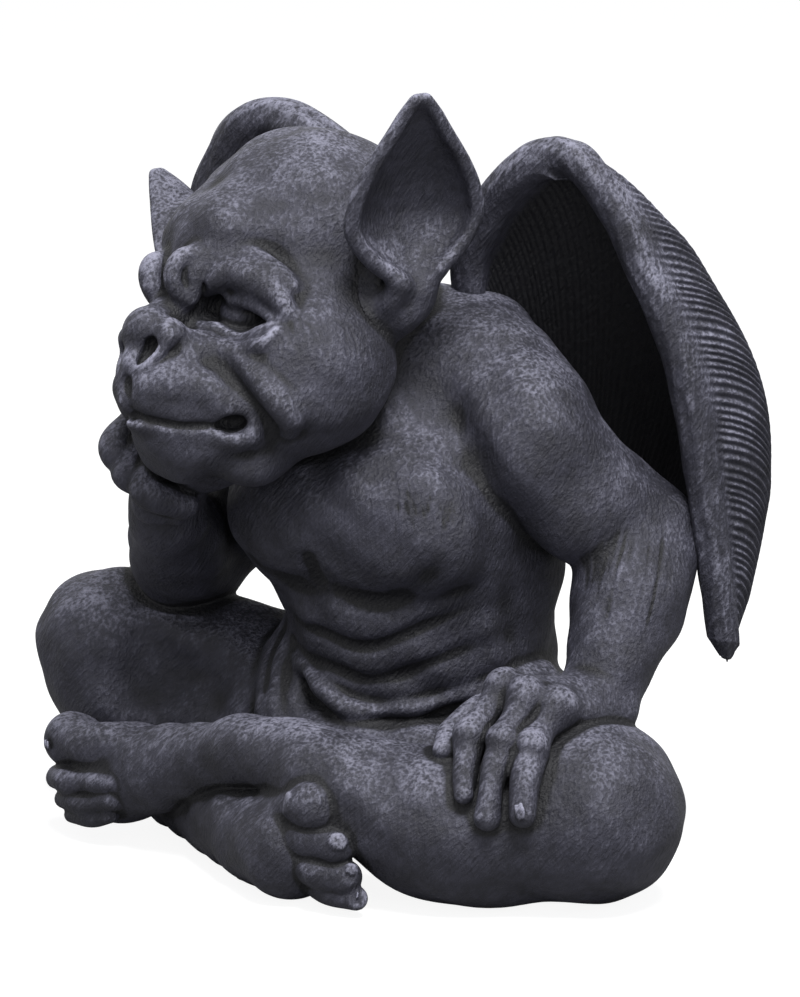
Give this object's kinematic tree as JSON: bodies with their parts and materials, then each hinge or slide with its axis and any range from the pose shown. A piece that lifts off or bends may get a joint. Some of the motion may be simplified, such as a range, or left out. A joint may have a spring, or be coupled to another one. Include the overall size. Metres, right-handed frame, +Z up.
{
  "type": "gargoyle figurine",
  "caption": "Seated cross-legged gargoyle figurine with bat wings and pointed ears, chin on one fist, cast in dark stone-look resin and resting on felt pads.",
  "frame": {"origin": "on the surface it stands on, under the middle of the figure's box", "axes": "+Z up, the figure sits facing -Y, its own left side is +X"},
  "size_m": [0.1918, 0.1442, 0.1977],
  "materials": {
    "resin": "matt, dry-brushed",
    "dowel": "plain",
    "pin": "plain",
    "felt": "matt"
  },
  "bodies": {
    "root": {"torso": "resin", "head": "resin", "left_ear": "resin", "right_ear": "resin", "right_leg": "resin", "left_leg": "resin", "right_arm": "resin", "left_arm": "resin", "left_wing": "resin", "right_wing": "resin", "neck_dowel": "dowel", "left_shoulder_dowel": "dowel", "right_shoulder_dowel": "dowel", "left_hip_dowel": "dowel", "right_hip_dowel": "dowel", "left_wing_lower_pin": "pin", "left_wing_upper_pin": "pin", "left_ear_pin": "pin", "right_wing_lower_pin": "pin", "right_wing_upper_pin": "pin", "right_ear_pin": "pin", "seat_pad": "felt", "left_pad": "felt", "right_pad": "felt", "front_pad": "felt"}
  },
  "joints": []
}
